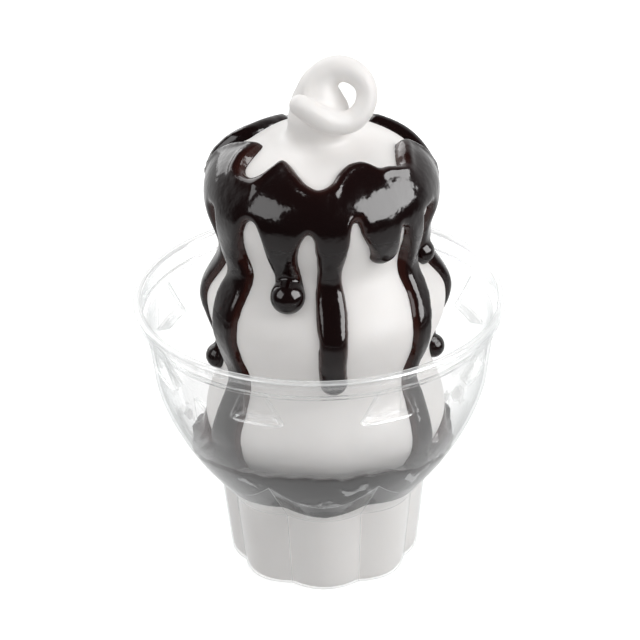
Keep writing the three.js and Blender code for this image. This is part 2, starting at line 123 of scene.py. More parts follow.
# Each drip: the radius of the bead at its end (0 for none), then its path from the root down, as
# (height, angle, half its width).
DRIPS = [
    (3.3, (104, -84, 5.5), (98, -83, 3.6), (92, -82, 3), (87, -83, 3.2), (82, -87, 3.2), (75, -93, 2.8),
     (67, -97, 2.3), (60, -95, 1.9), (54.6, -91.5, 2.3)),
    (0, (103.5, -54, 5.8), (98.4, -56.1, 4.7), (95.8, -57.8, 4.6), (93.2, -59.6, 4.5),
     (90.6, -60.4, 4.3), (88, -57.4, 4), (85.4, -54.8, 3.8), (82.8, -55.4, 4), (80.2, -57.4, 4.6),
     (77.6, -58.1, 4.7), (72.4, -57.4, 4.3), (67.2, -58.3, 4), (62, -60.4, 4.3), (59.4, -58.6, 4.3),
     (56.8, -56.4, 3.7), (51.6, -56.1, 3.9), (49, -55.6, 4.3), (43.8, -55.4, 4.6), (40.7, -55.8, 5.3),
     (31, -56, 5.6)),
    (4.3, (103.5, -20.5, 7.5), (100.9, -21.5, 5.6), (98.3, -22, 4.4), (95.7, -22.3, 3.8),
     (93.1, -22.5, 3.4), (90.5, -21.6, 3.1), (87.9, -20, 2.9), (83.4, -18.9, 3.2)),
    (0, (104, 4, 5.2), (102.3, 4.3, 4.7), (99.7, 5.2, 3.9), (97.1, 5.3, 3.6), (94.5, 5.4, 3.2),
     (91.9, 5.5, 2.8), (89.3, 5.3, 2.5), (86.7, 5.1, 2.5), (84.1, 4.9, 2.9), (81.5, 4.6, 3.2),
     (78.9, 4, 3.3), (76.3, 3.3, 3.2), (71.1, 2.6, 3), (65.9, 2.4, 2.9), (60.5, 3.4, 2.9)),
    (0, (103.5, 32, 5.4), (100.2, 32.6, 5.1), (97.6, 34, 4.3), (95.4, 35.8, 3.8), (93.2, 37.5, 3.4)),
    (0, (102, 51, 4.2), (98.3, 55.4, 2.9), (95.7, 57.8, 3.1), (93.1, 60.7, 3), (90.5, 63, 3.2),
     (87.9, 63.4, 3.2), (85.3, 62.5, 3.3), (82.7, 61.2, 3.3), (80.1, 60.3, 3.3), (77.5, 57, 3.3),
     (74.9, 53.2, 3), (72.3, 51.2, 2.6), (69.7, 51.2, 2.6), (67.1, 51.8, 2.5), (64.5, 52.3, 2.3),
     (61.9, 51.5, 2), (56.7, 50.8, 2.1), (51.5, 52.6, 2.6), (43.7, 52, 2.9), (31, 52, 3.4)),
    (3.3, (103, 80, 5), (98, 82, 3.2), (92, 84, 2.6), (83.9, 85, 2.6)),
    (3.1, (103.5, 96, 5.4), (99, 94, 3.8), (95, 92.5, 3.4), (90, 93, 3.3), (86, 95, 3.3),
     (82, 96.5, 3.2), (78, 97, 2.9), (72, 98.5, 2.3), (64, 101, 1.8), (54.4, 98.5, 1.9)),
    (3.3, (103.5, 128, 6), (99, 128, 3.6), (93, 127.6, 2.4), (77.3, 127, 2.4)),
    (0, (103.5, 150, 5.5), (99, 150.5, 4), (87, 153.5, 3.2), (72, 152.5, 3.8), (56, 150, 3.1),
     (41, 152, 3.7), (31, 153, 3.6)),
    (3.8, (103.5, 176, 6), (98, 176, 3.6), (92, 175.6, 2.8), (87.8, 175, 3)),
    (2.6, (103.5, -158, 6), (98, -156.5, 3.6), (88, -155, 2.7), (72, -156.5, 3.1), (61.6, -158, 2.5)),
    (0, (103.5, -133, 6), (98, -134, 3.8), (87, -134.5, 2.9), (72, -132, 3.6), (56, -129.5, 2.9),
     (41, -130, 3.5), (31, -130, 3.5)),
    (3, (103.5, -110, 5.4), (98, -110.4, 3.2), (89, -112, 2.5)),
]
POOL_AT_ICE = [             # angle, and the height of the pool against the ice cream
    (-180, 36), (-142, 36.5), (-118, 37.5), (-92, 41), (-66, 34), (-42, 33.4), (0, 35), (39, 33.4),
    (63, 34), (88, 42), (110, 38), (141, 36.5), (165, 36.5),
]
POOL_AT_WALL = [            # angle, and its height where it clings to the wall
    (-180, 34), (-140, 33.5), (-112, 32.5), (-92, 32.5), (-70, 34), (-50, 37), (-31, 38.7), (-20, 39.3),
    (-9, 40.5), (0, 39.8), (8, 39.3), (14, 40.3), (22, 39.9), (31, 38.6), (40, 36.5), (55, 35.2),
    (75, 33), (92, 32.4), (113, 34), (140, 34),
]
POOL_FOOT = [               # angle, and the height of its lower edge at the wall
    (-150, 24), (-110, 24), (-70, 23.6), (-45, 24.6), (-22, 25), (-11, 23.8), (0, 22.9), (13, 24),
    (27, 25.3), (43, 24.3), (70, 23.4), (110, 24.2), (160, 23.8),
]
IN_WALL = 0.35              # what fills the cup reaches this close to the wall's outside, so no air shows
UNDER_POOL = 0.65           # the ice cream stops a little short of that where the fudge covers it


# ------------------------------------------------------------------ small tools
def linear(colour):
    """An sRGB hex colour as linear RGBA."""
    channels = [int(colour[i:i + 2], 16) / 255 for i in (1, 3, 5)]
    return (*[c / 12.92 if c <= 0.04045 else ((c + 0.055) / 1.055) ** 2.4 for c in channels], 1)


def only(obj):
    """Makes obj the one selected and active object."""
    bpy.ops.object.select_all(action="DESELECT")
    obj.select_set(True)
    bpy.context.view_layer.objects.active = obj


def modify(obj, kind, **settings):
    """Adds a modifier with its settings and applies it."""
    only(obj)
    modifier = obj.modifiers.new(kind.title(), kind)
    for name, value in settings.items():
        setattr(modifier, name, value)
    bpy.ops.object.modifier_apply(modifier=modifier.name)


def join(parts, name):
    """Joins objects into the first one."""
    only(parts[0])
    for part in parts:
        part.select_set(True)
    bpy.ops.object.join()
    parts[0].name = name
    return parts[0]


def turned(name, profile, steps, inside=False):
    """Draws a (radius, height) profile by extruding one vertex, and spins it round the cup's axis."""
    bpy.ops.object.select_all(action="DESELECT")
    (radius, height), *rest = profile
    bpy.ops.mesh.primitive_plane_add(size=MM, location=(radius * MM, 0, height * MM))
    bpy.ops.object.transform_apply(location=True, rotation=True, scale=True)
    obj = bpy.context.object
    obj.name = name
    bpy.ops.object.mode_set(mode="EDIT")
    bpy.ops.mesh.merge(type="CENTER")
    for r, z in rest:
        move = ((r - radius) * MM, 0, (z - height) * MM)
        bpy.ops.mesh.extrude_vertices_move(TRANSFORM_OT_translate={"value": move})
        radius, height = r, z
    bpy.ops.mesh.select_all(action="SELECT")
    bpy.ops.mesh.spin(steps=steps, angle=2 * math.pi, center=(0, 0, 0), axis=(0, 0, 1))
    bpy.ops.mesh.select_all(action="SELECT")
    bpy.ops.mesh.remove_doubles(threshold=0.005 * MM)
    bpy.ops.mesh.normals_make_consistent(inside=inside)
    bpy.ops.object.mode_set(mode="OBJECT")
    return obj


def angle_of(point):
    """Degrees from the front, positive to the right."""
    return math.degrees(math.atan2(point.x, -point.y))


def flute_place(angle):
    """Degrees from the nearest flute's crest."""
    return abs((angle + 180 / FLUTES) % (360 / FLUTES) - 180 / FLUTES)


def each_group(obj, key_of):
    """Yields the key of each group of vertices that share one, while the group is selected in edit mode."""
    only(obj)
    bpy.ops.object.mode_set(mode="EDIT")
    bpy.ops.mesh.select_all(action="DESELECT")
    edit_mesh = bmesh.from_edit_mesh(obj.data)
    groups = {}
    for v in edit_mesh.verts:
        groups.setdefault(key_of(v), []).append(v)
    for key, verts in groups.items():
        for v in verts:
            v.select = True
        yield key
        for v in verts:
            v.select = False
    bpy.ops.object.mode_set(mode="OBJECT")


def ring_and_place(v):
    """A vertex's height, radius and place on its flute, which the columns of one ring share."""
    radius = Vector(v.co[:2]).length / MM
    return round(v.co.z / MM, 2), round(radius, 2), round(flute_place(angle_of(v.co)), 1)


def press(obj, shape):
    """Moves each ring's columns to the radius and height that shape(height, radius, place) gives."""
    for height, radius, place in each_group(obj, ring_and_place):
        if radius < 0.1:
            continue
        new_radius, new_height = shape(height, radius, place)
        if new_radius != radius:
            share = new_radius / radius
            bpy.ops.transform.resize(value=(share, share, 1), center_override=(0, 0, 0))
        if new_height != height:
            bpy.ops.transform.translate(value=(0, 0, (new_height - height) * MM))


def points_of(obj):
    """The object's vertices as rows of x, y and z, in millimetres."""
    return np.array([v.co for v in obj.data.vertices]) / MM


def angles_of(points):
    """Degrees from the front for each row of points."""
    return np.degrees(np.arctan2(points[:, 0], -points[:, 1]))


def off_angle(angle, middle):
    """Degrees from a middle angle, from -180 to 180."""
    return (angle - middle + 180) % 360 - 180


def curve_through(pairs, angle):
    """The value at an angle of a smooth curve through (angle, value) pairs, which repeats every turn."""
    angles, values = np.array(pairs, float).T
    gap = np.diff(angles, append=angles[0] + 360)
    rise = np.diff(values, append=values[0]) / gap
    before = np.roll(rise, 1)
    level = before * rise <= 0          # a peak or a dip stays where it is
    slope = np.where(level, 0, 2 * before * rise / np.where(level, 1, before + rise))
    turn = (np.asarray(angle, float) - angles[0]) % 360
    i = np.searchsorted(angles - angles[0], turn, side="right") - 1
    after = (i + 1) % len(pairs)
    t = (turn - (angles[i] - angles[0])) / gap[i]
    return (values[i] * (1 + 2 * t) * (1 - t) ** 2 + slope[i] * gap[i] * t * (1 - t) ** 2
            + values[after] * t * t * (3 - 2 * t) - slope[after] * gap[i] * t * t * (1 - t))


# ------------------------------------------------------------------ camera, lights and floor
def camera():
    """The photograph's view: 28 degrees above the horizon, a metre away, with a slight roll."""
    elevation, roll, distance = math.radians(28.01), math.radians(-1.116), 1000 * MM
    aim = Vector((-0.09, 0, 64.26)) * MM
    bpy.ops.object.camera_add()
    cam = bpy.context.object
    cam.name = "camera"
    back = Vector((0, -math.cos(elevation), math.sin(elevation))) * distance
    tilt = Matrix.Rotation(math.pi / 2 - elevation, 4, "X")
    cam.matrix_world = Matrix.Translation(aim + back) @ tilt @ Matrix.Rotation(roll, 4, "Z")
    cam.data.lens = 228
    cam.data.sensor_width = 36
    bpy.context.scene.camera = cam


def softbox(name, azimuth, elevation, width, height, radiance, lights=True, mirrors=True):
    """A rectangular light, 900 mm away, that faces the sundae. It can light it, or only mirror in it."""
    a, e, distance = math.radians(azimuth), math.radians(elevation), 900 * MM
    towards = Vector((math.sin(a) * math.cos(e), -math.cos(a) * math.cos(e), math.sin(e)))
    bpy.ops.object.light_add(type="AREA", location=towards * distance + Vector((0, 0, 80 * MM)))
    light = bpy.context.object
    light.name = name
    light.rotation_euler = towards.to_track_quat("Z", "Y").to_euler()
    light.data.shape = "RECTANGLE"
    light.data.size, light.data.size_y = width * MM, height * MM
    light.data.energy = radiance * math.pi * width * height * MM * MM
    light.visible_diffuse = light.visible_transmission = lights
    light.visible_glossy = mirrors


def node(tree, kind, settings=None, **links):
    """Adds a shader node. settings are its attributes. links are its inputs, as values or other sockets,
    by name or, where several inputs share a name, by number: i0, i1."""
    added = tree.nodes.new(kind)
    for name, value in (settings or {}).items():
        setattr(added, name, value)
    for name, value in links.items():
        numbered = name[0] == "i" and name[1:].isdigit()
        socket = added.inputs[int(name[1:]) if numbered else name.replace("_", " ")]
        if isinstance(value, bpy.types.NodeSocket):
            tree.links.new(value, socket)
        else:
            socket.default_value = value
    return added


def set_stops(ramp, *stops):
    """Gives a colour ramp its (position, colour) stops."""
    colours = ramp.color_ramp.elements
    while len(colours) < len(stops):
        colours.new(1)
    for stop, (position, colour) in zip(colours, stops):
        stop.position, stop.color = position, linear(colour)


def studio():
    """A white floor, a white backdrop behind, a dark room in front, and softboxes round the sundae."""
    world = bpy.data.worlds.new("studio")
    bpy.context.scene.world = world
    world.use_nodes = True
    tree = world.node_tree
    tree.nodes.clear()
    where = node(tree, "ShaderNodeTexCoord")
    way = node(tree, "ShaderNodeSeparateXYZ", Vector=where.outputs["Generated"])
    height = node(tree, "ShaderNodeMapRange", Value=way.outputs["Z"], From_Min=-1.0,
                  From_Max=1.0).outputs[0]
    backdrop = node(tree, "ShaderNodeValToRGB", Fac=height)
    set_stops(backdrop, (0.29, "#ffffff"), (0.43, "#ffffff"), (0.71, "#f8f8f8"), (0.88, "#a0a0a0"),
              (0.95, "#484848"))
    dark_room = node(tree, "ShaderNodeValToRGB", Fac=height)
    set_stops(dark_room, (0.29, "#e6e6e6"), (0.36, "#484848"))
    behind = node(tree, "ShaderNodeMapRange", {"interpolation_type": "SMOOTHSTEP"}, Value=way.outputs["Y"],
                  From_Min=0.0, From_Max=0.55)
    around = node(tree, "ShaderNodeMix", {"data_type": "RGBA"}, Factor=behind.outputs[0],
                  i6=dark_room.outputs[0], i7=backdrop.outputs[0])
    sky = node(tree, "ShaderNodeBackground", Color=around.outputs[2], Strength=1.0)
    node(tree, "ShaderNodeOutputWorld", Surface=sky.outputs["Background"])

    softbox("key_right", 66, 38, 700, 700, 3.3, mirrors=False)
    softbox("fill_left", -62, 38, 600, 500, 2.4, mirrors=False)
    softbox("low_right", 76, 2, 600, 500, 1.8, mirrors=False)
    softbox("fill_front", -10, 10, 800, 600, 1.25, mirrors=False)
    softbox("top", -135, 66, 500, 400, 4.6, mirrors=False)
    softbox("mirror_right", 66, 26, 880, 760, 11, lights=False)
    softbox("mirror_left", -60, 29, 580, 520, 4.0, lights=False)
    softbox("mirror_back_left", -142, 28, 700, 700, 2.9, lights=False)

    # The world stands for the floor's bounce, which is dimmer than the floor that the camera sees.
    bpy.ops.mesh.primitive_plane_add(size=8)
    floor = bpy.context.object
    floor.name = "floor"
    floor.visible_diffuse = floor.visible_glossy = floor.visible_transmission = False
    floor.data.materials.append(white_laminate())
    bpy.context.scene.view_settings.view_transform = "Standard"


# ------------------------------------------------------------------ materials
def material(name):
    """A new material and its tree with nothing but the output node."""
    made = bpy.data.materials.new(name)
    made.use_nodes = True
    tree = made.node_tree
    tree.nodes.clear()
    return made, tree, tree.nodes.new("ShaderNodeOutputMaterial")


def white_laminate():
    """Matt white laminate, lit so evenly that it reads as plain paper."""
    made, tree, output = material("matt_white_laminate")
    made_white = node(tree, "ShaderNodeBsdfPrincipled", Base_Color=linear("#f2f2f2"), Roughness=0.9,
                      Emission_Color=linear("#ffffff"), Emission_Strength=0.45)
    tree.links.new(made_white.outputs[0], output.inputs["Surface"])
    return made


def soft_serve():
    """Vanilla soft serve, frozen and pulled: white with a trace of cream, satin, and a little translucent."""
    made, tree, output = material("vanilla_soft_serve")
    where = node(tree, "ShaderNodeTexCoord").outputs["Object"]
    # Ice crystals are about 0.05 mm. They are drawn at 0.6 mm, so that they show.
    crystals = node(tree, "ShaderNodeTexNoise", Vector=where, Scale=1 / (0.6 * MM), Detail=2.0)
    # The lever's speed leaves slow waves about 9 mm long.
    waves = node(tree, "ShaderNodeTexNoise", Vector=where, Scale=1 / (9 * MM), Detail=1.0)
    tint = node(tree, "ShaderNodeMix", {"data_type": "RGBA"}, Factor=waves.outputs["Fac"],
                i6=linear("#f1efed"), i7=linear("#ebe8e6"))
    gloss = node(tree, "ShaderNodeMapRange", Value=waves.outputs["Fac"], To_Min=0.42, To_Max=0.56)
    fine = node(tree, "ShaderNodeBump", Height=crystals.outputs["Fac"], Strength=0.12, Distance=0.05 * MM)
    broad = node(tree, "ShaderNodeBump", Height=waves.outputs["Fac"], Strength=0.3, Distance=0.3 * MM,
                 Normal=fine.outputs["Normal"])
    body = node(tree, "ShaderNodeBsdfPrincipled", Base_Color=tint.outputs[2],
                Roughness=gloss.outputs["Result"], IOR=1.35, Subsurface_Weight=0.35,
                Subsurface_Radius=(1.0, 0.95, 0.9), Subsurface_Scale=1.6 * MM,
                Normal=broad.outputs["Normal"])
    tree.links.new(body.outputs[0], output.inputs["Surface"])
    return made


def poured_fudge():
    """Hot fudge, poured: near black where it is thick, red brown where a thin edge lets light through."""
    made, tree, output = material("poured_hot_fudge")
    where = node(tree, "ShaderNodeTexCoord").outputs["Object"]
    inside = node(tree, "ShaderNodeAttribute", {"attribute_name": "from_edge"}).outputs["Fac"]
    ramp = node(tree, "ShaderNodeValToRGB", Fac=inside)
    set_stops(ramp, (0, "#321611"), (0.06, "#26100d"), (0.13, "#1b0b0a"), (0.3, "#150808"), (1, "#120606"))
    # Pouring leaves slow ripples about 7 mm long, and air bubbles and sugar grains of 0.3 mm.
    ripples = node(tree, "ShaderNodeTexNoise", Vector=where, Scale=1 / (7 * MM), Detail=3.0)
    grains = node(tree, "ShaderNodeTexNoise", Vector=where, Scale=1 / (0.7 * MM), Detail=1.0)
    slow = node(tree, "ShaderNodeBump", Height=ripples.outputs["Fac"], Strength=0.5, Distance=0.8 * MM)
    fine = node(tree, "ShaderNodeBump", Height=grains.outputs["Fac"], Strength=0.08, Distance=0.05 * MM,
                Normal=slow.outputs["Normal"])
    gloss = node(tree, "ShaderNodeMapRange", Value=ripples.outputs["Fac"], To_Min=0.06, To_Max=0.2)
    body = node(tree, "ShaderNodeBsdfPrincipled", Base_Color=ramp.outputs["Color"],
                Roughness=gloss.outputs["Result"], IOR=1.42, Normal=fine.outputs["Normal"])
    tree.links.new(body.outputs[0], output.inputs["Surface"])
    return made


def clear_plastic():
    """PET sheet, thermoformed: clear and glossy, with a grey cast where it is seen along the wall."""
    made, tree, output = material("clear_thermoformed_pet")
    where = node(tree, "ShaderNodeTexCoord").outputs["Object"]
    facing = node(tree, "ShaderNodeLayerWeight", Blend=0.5).outputs["Facing"]
    along_wall = node(tree, "ShaderNodeMath", {"operation": "POWER"}, i0=facing, i1=4.0)
    seen_through = node(tree, "ShaderNodeMix", {"data_type": "RGBA"}, Factor=along_wall.outputs[0],
                        i6=linear("#ffffff"), i7=linear("#dde0e0"))
    clear = node(tree, "ShaderNodeBsdfTransparent", Color=seen_through.outputs[2])
    # Stretching the hot sheet leaves faint waves about 6 mm long.
    waves = node(tree, "ShaderNodeTexNoise", Vector=where, Scale=1 / (6 * MM), Detail=1.0)
    wavy = node(tree, "ShaderNodeBump", Height=waves.outputs["Fac"], Strength=0.2, Distance=0.15 * MM)
    # Painted highlights: the lip, the crease and the lugs' outlines are painted white along the sheet's
    # rounded folds, over a plain haze of 6 %.
    fold_highlight = node(tree, "ShaderNodeAttribute", {"attribute_name": "fold_highlight"}).outputs["Fac"]
    painted_fold_highlight = node(tree, "ShaderNodeMapRange", Value=fold_highlight, To_Min=0.06, To_Max=0.4)
    # Painted highlights: white smears of some 8 mm inside the foot of the bowl stand in for glints of light
    # there.
    level = node(tree, "ShaderNodeSeparateXYZ", Vector=where).outputs["Z"]
    above = node(tree, "ShaderNodeMapRange", Value=level, From_Min=27 * MM, From_Max=30 * MM).outputs[0]
    below = node(tree, "ShaderNodeMapRange", Value=level, From_Min=42 * MM, From_Max=37 * MM).outputs[0]
    glint_noise = node(tree, "ShaderNodeTexNoise", Vector=where, Scale=1 / (8 * MM), Detail=3.0, Distortion=0.6)
    glint_share = node(tree, "ShaderNodeMapRange", Value=glint_noise.outputs["Fac"], From_Min=0.58, From_Max=0.64,
                   To_Max=0.35).outputs[0]
    banded = node(tree, "ShaderNodeMath", {"operation": "MULTIPLY"}, i0=above, i1=below)
    painted_glints = node(tree, "ShaderNodeMath", {"operation": "MULTIPLY"}, i0=banded.outputs[0], i1=glint_share)
    haze_and_painted_highlights = node(tree, "ShaderNodeMath", {"operation": "ADD"}, i0=painted_fold_highlight.outputs[0], i1=painted_glints.outputs[0])
    haze_and_highlight_white = node(tree, "ShaderNodeBsdfDiffuse", Color=linear("#fafbfb"))
    with_haze_and_highlights = node(tree, "ShaderNodeMixShader", i0=haze_and_painted_highlights.outputs[0], i1=clear.outputs[0], i2=haze_and_highlight_white.outputs[0])
    shine = node(tree, "ShaderNodeBsdfGlossy", Color=linear("#ffffff"), Roughness=0.03,
                 Normal=wavy.outputs["Normal"])
    # A smooth surface of IOR 1.57 mirrors 5 % head on, and nearly all light that grazes it. The sheet's two
    # sides are not quite parallel, so 7 % is used head on and less than all of it at the edge.
    grazing = node(tree, "ShaderNodeMath", {"operation": "POWER"}, i0=facing, i1=5.0)
    mirrored = node(tree, "ShaderNodeMapRange", Value=grazing.outputs[0], To_Min=0.07, To_Max=0.7)
    both = node(tree, "ShaderNodeMixShader", i0=mirrored.outputs[0], i1=with_haze_and_highlights.outputs[0],
                i2=shine.outputs[0])
    tree.links.new(both.outputs[0], output.inputs["Surface"])
    return made


# ------------------------------------------------------------------ cup
def crest_radius(height):
    """Radius of the cup's outside over the flutes' crests, up to the step."""
    if height <= BASE_HEIGHT:
        return FOOT_RADIUS + (BASE_TOP_RADIUS - FOOT_RADIUS) * height / BASE_HEIGHT
    if height <= CREASE_HEIGHT:
        return BASE_TOP_RADIUS + FLARE * (height - BASE_HEIGHT)
    return bowl_radius(height)


def bowl_radius(height):
    """Radius of the round bowl's outside."""
    if height <= WALL_FOOT_HEIGHT:
        up = (height - CREASE_HEIGHT) / (WALL_FOOT_HEIGHT - CREASE_HEIGHT)
        return WALL_FOOT_RADIUS - (WALL_FOOT_RADIUS - CREASE_RADIUS) * (1 - up) ** 1.5
    up = (height - WALL_FOOT_HEIGHT) / (STEP_HEIGHT - WALL_FOOT_HEIGHT)
    return WALL_FOOT_RADIUS + (STEP_RADIUS - WALL_FOOT_RADIUS) * up


def groove_depth(height, place):
    """How far the groove between two flutes is pressed in, at a place from 0 (crest) to 22.5 degrees."""
    shallower = max(height - BASE_HEIGHT, 0) * FLUTE_FADE
    return (FLUTE_DEPTH - shallower) * (1 - abs(math.cos(math.radians(place * FLUTES / 2))))


def crease_height(place):
    """Where the flare meets the bowl: a scalloped line, lowest over the crests."""
    return CREASE_HEIGHT + SCALLOP * (1 - abs(math.cos(math.radians(place * FLUTES / 2)))) ** 1.2


def wall_radius(height, place):
    """Radius of the cup's outside: the flutes flare out until they meet the round bowl."""
    if height <= BASE_HEIGHT:
        return crest_radius(height) - groove_depth(height, place)
    crease = crease_height(place)
    low, high = BASE_TOP_RADIUS - groove_depth(BASE_HEIGHT, place), bowl_radius(crease)
    flare = low + (high - low) * (height - BASE_HEIGHT) / (crease - BASE_HEIGHT)
    return flare if height < crease else bowl_radius(height)


def cup_shape(height, radius, place):
    """Grooves, scalloped crease and stacking lugs together: where a point of the spun profile goes."""
    if radius < RECESS_RADIUS + 1:
        return radius, height
    if height <= BASE_HEIGHT:
        return radius - groove_depth(height, place), height
    if height < BLEND_HEIGHT:
        crease = crease_height(place)
        if height <= CREASE_HEIGHT:
            up = (height - BASE_HEIGHT) / (CREASE_HEIGHT - BASE_HEIGHT)
            height = BASE_HEIGHT + (crease - BASE_HEIGHT) * up
        else:
            up = (height - CREASE_HEIGHT) / (BLEND_HEIGHT - CREASE_HEIGHT)
            height = crease + (BLEND_HEIGHT - crease) * up
        return wall_radius(height, place), height
    if LUG_BOTTOM <= height < LUG_TOP:
        side = min(max((place - LUG_SIDE) / (LUG_FACE - LUG_SIDE), 0), 1)
        return radius - LUG_DEPTH * side * (LUG_TOP - height) / (LUG_TOP - LUG_BOTTOM), height
    return radius, height


def ring_and_lug(v):
    """A vertex's height, and its degrees from the middle of the nearest lug."""
    return round(v.co.z / MM, 2), round((angle_of(v.co) + 0.01) % (360 / FLUTES) - 180 / FLUTES, 1)


def slide_lugs(obj):
    """Slides the lugs' corners round the wall, as each lug is narrow at its top and wide at its ledge."""
    for height, off in each_group(obj, ring_and_lug):
        if height not in LUG_CORNERS or off == 0 or abs(off) >= LUG_COLUMNS[-1]:
            continue
        turn = math.copysign(np.interp(abs(off), LUG_COLUMNS, LUG_CORNERS[height]), off) - off
        bpy.ops.transform.rotate(value=-math.radians(turn), orient_axis="Z", center_override=(0, 0, 0))


def on_crease(v):
    """Whether a vertex of the sheet lies on the scalloped line between the flare and the bowl."""
    return abs(v.co.z / MM - crease_height(flute_place(angle_of(v.co)))) < 0.05


def round_folds(obj):
    """Rounds the sheet's folds, and stores how much painted highlight the narrow faces along them get."""
    sheet = bmesh.new()
    sheet.from_mesh(obj.data)
    weight = sheet.edges.layers.float.new("bevel_weight_edge")
    for edge in sheet.edges:
        folded = edge.calc_face_angle(0) > math.radians(FOLD_ANGLE)
        edge[weight] = folded or all(on_crease(v) for v in edge.verts)
    sheet.to_mesh(obj.data)
    sheet.free()
    plastic = clear_plastic()
    obj.data.materials.append(plastic)
    obj.data.materials.append(plastic)
    modify(obj, "BEVEL", width=FOLD_ROUND * MM, segments=2, limit_method="WEIGHT", material=1)
    # The rounded faces get a painted highlight: white haze in the material, in place of the glints of light
    # along the folds.
    painted_fold_highlight = []
    for face in obj.data.polygons:
        on_lug = LUG_BOTTOM - 1 < face.center.z / MM < LUG_TOP + 0.5
        rounded = face.material_index == 1
        painted_fold_highlight.append(rounded * (LUG_HIGHLIGHT if on_lug else 1))
        face.material_index = 0
    obj.data.materials.pop()
    obj.data.attributes.new("fold_highlight", "FLOAT", "FACE").data.foreach_set("value", painted_fold_highlight)


def cup():
    """The wall's outside is spun, fluted and creased, then the sheet gets its thickness."""
    rings = [(0, RECESS_HEIGHT), (RECESS_RADIUS - 1, RECESS_HEIGHT), (RECESS_RADIUS, 0)]
    slant = (BASE_TOP_RADIUS - FOOT_RADIUS) * FOOT_ROUND / BASE_HEIGHT
    for step in range(5):
        turn = math.radians(90 * step / 4)
        radius = FOOT_RADIUS + slant - FOOT_ROUND * (1 - math.sin(turn))
        rings.append((radius, FOOT_ROUND * (1 - math.cos(turn))))
    heights = [6, 11, 16, BASE_HEIGHT, 25, CREASE_HEIGHT, *np.arange(30.5, 57, 2)]
    heights += [LUG_BOTTOM - LUG_LEDGE, LUG_BOTTOM, LUG_TOP]
    rings += [(crest_radius(z), z) for z in heights]
    hook = LIP_HEIGHT - WALL
    rings += [(STEP_RADIUS, STEP_HEIGHT - 0.4), (BAND_RADIUS, STEP_HEIGHT), (BAND_RADIUS, BAND_TOP)]
    middle, bend = (BAND_RADIUS + RIM_RADIUS - WALL) / 2, (RIM_RADIUS - WALL - BAND_RADIUS) / 2
    for step in range(7):
        turn = math.radians(180 * step / 6)
        rings.append((middle - bend * math.cos(turn), CUP_HEIGHT - WALL - bend + bend * math.sin(turn)))
    rings.append((RIM_RADIUS - WALL, CUP_HEIGHT - WALL - hook))
    made = turned("cup_sheet", rings, COLUMNS, inside=True)
    press(made, cup_shape)
    slide_lugs(made)
    round_folds(made)
    modify(made, "SOLIDIFY", thickness=WALL * MM, offset=-1)
    only(made)
    bpy.ops.object.shade_smooth_by_angle(angle=math.radians(40))
    made.visible_shadow = False     # clear sheet lets the light through to the ice cream
    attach(made, "root")
    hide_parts("cup")


# ------------------------------------------------------------------ ice cream
def outline(samples=1200):
    """The ice cream's outline from the dome's middle down: distance along it, radius, height and shift."""
    dome_share = 0.2
    part = np.linspace(0, 1, samples)
    climb = np.clip(1 - part / dome_share, 0, 1) * math.pi / 2
    heights, radii, shifts = np.array(SWELLS[::-1], float).T
    down = np.clip((part - dome_share) / (1 - dome_share), 0, 1) * (len(SWELLS) - 1)
    i = np.minimum(down.astype(int), len(SWELLS) - 2)
    ease = (1 - np.cos(np.pi * (down - i))) / 2
    on_dome = part < dome_share
    height = np.where(on_dome, heights[0] + DOME_HEIGHT * np.sin(climb) ** (2 / DOME_FULLNESS),
                      heights[i] + (heights[i + 1] - heights[i]) * (down - i))
    radius = np.where(on_dome, radii[0] * np.cos(climb) ** (2 / DOME_FULLNESS),
                      radii[i] + (radii[i + 1] - radii[i]) * ease)
    shift = np.where(on_dome, shifts[0], shifts[i] + (shifts[i + 1] - shifts[i]) * ease)
    along = np.concatenate([[0], np.cumsum(np.hypot(np.diff(radius), np.diff(height)))])
    return along, radius, height, shift


ALONG, RADIUS, HEIGHT, SHIFT = outline()


def along_at_height(height):
    """Distance along the outline where it comes down to a height."""
    return np.interp(-np.asarray(height, float), -HEIGHT, ALONG)


def shift_at_height(height):
    """How far the ice cream's middle lies to the right at a height."""
    return np.interp(-height, -HEIGHT, SHIFT)


def radius_at(along):
    """The outline's radius at a distance along it."""
    return np.interp(along, ALONG, RADIUS)


def height_at(along):
    """The outline's height at a distance along it."""
    return np.interp(along, ALONG, HEIGHT)


def skin_rings(spacing, lowest):
    """(radius, height) points of the outline, evenly spaced down to a height."""
    stops = np.arange(0, along_at_height(lowest), spacing)
    return [(float(radius_at(stop)), float(height_at(stop))) for stop in stops]


def lean(obj):
    """Slides each ring of a spun skin sideways, because the coils don't stack quite straight."""
    for height in each_group(obj, lambda v: round(v.co.z / MM, 2)):
        if height >= SWELLS[0][0]:
            bpy.ops.transform.translate(value=(float(shift_at_height(height)) * MM, 0, 0))


def pulled_tip():
    """The rope that the nozzle pulled up, looped over and let fall across its own front."""
    bpy.ops.object.select_all(action="DESELECT")
    bpy.ops.curve.primitive_bezier_curve_add()
    rope = bpy.context.object
    spline = rope.data.splines[0]
    spline.bezier_points.add(len(CURL) - 2)
    for point, (x, y, z, radius) in zip(spline.bezier_points, CURL):
        point.co = Vector((x, y, z)) * MM
        point.radius = radius
        point.handle_left_type = point.handle_right_type = "AUTO"
    spline.resolution_u = 10
    spline.radius_interpolation = "CARDINAL"
    rope.data.dimensions = "3D"
    rope.data.bevel_depth = MM
    rope.data.bevel_resolution = 10
    rope.data.use_fill_caps = True
    bpy.ops.object.convert(target="MESH")
    x, y, z, radius = CURL[-1]
    bpy.ops.object.select_all(action="DESELECT")
    bpy.ops.mesh.primitive_uv_sphere_add(radius=radius * MM, location=(x * MM, y * MM, z * MM))
    return join([rope, bpy.context.object], "pulled_tip")


